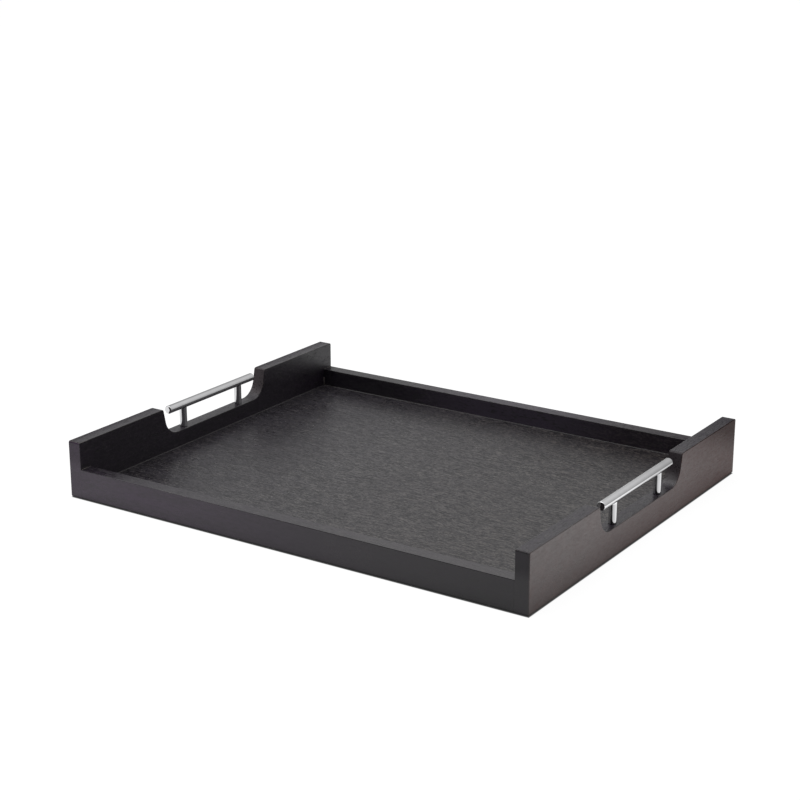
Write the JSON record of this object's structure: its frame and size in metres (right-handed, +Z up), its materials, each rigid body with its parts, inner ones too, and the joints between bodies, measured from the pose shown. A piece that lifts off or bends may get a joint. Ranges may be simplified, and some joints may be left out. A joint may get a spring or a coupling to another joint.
{
  "type": "butlers tray",
  "caption": "Low dark wooden serving tray with taller notched end boards, a polished bar handle in each notch and a flat veneered floor.",
  "frame": {"origin": "middle of the footprint, on the surface that the tray stands on", "axes": "+X along the tray's length from the left end board to the right, +Y to the back, +Z up"},
  "size_m": [0.54, 0.44, 0.061],
  "materials": {
    "end_board_wood": "satin black-brown stain, fine open grain, edges lightly eased",
    "rail_wood": "satin black-brown stain, fine open grain",
    "base_veneer": "satin black stain over open-pored veneer, grain along the length",
    "bar_chrome": "polished chrome plate on a solid round bar",
    "post_chrome": "polished chrome plate",
    "screw_steel": "zinc plated",
    "dowel_wood": "plain beech"
  },
  "bodies": {
    "root": {"end_board_left": "end_board_wood", "end_board_right": "end_board_wood", "front_rail": "rail_wood", "back_rail": "rail_wood", "base_panel": "base_veneer", "handle_bar_left": "bar_chrome", "handle_bar_right": "bar_chrome", "handle_post_left_front": "post_chrome", "handle_post_left_back": "post_chrome", "handle_post_right_front": "post_chrome", "handle_post_right_back": "post_chrome", "handle_screw_left_front": "screw_steel", "handle_screw_left_back": "screw_steel", "handle_screw_right_front": "screw_steel", "handle_screw_right_back": "screw_steel", "dowel_front_left_lower": "dowel_wood", "dowel_front_left_upper": "dowel_wood", "dowel_front_right_lower": "dowel_wood", "dowel_front_right_upper": "dowel_wood", "dowel_back_left_lower": "dowel_wood", "dowel_back_left_upper": "dowel_wood", "dowel_back_right_lower": "dowel_wood", "dowel_back_right_upper": "dowel_wood"}
  },
  "joints": []
}
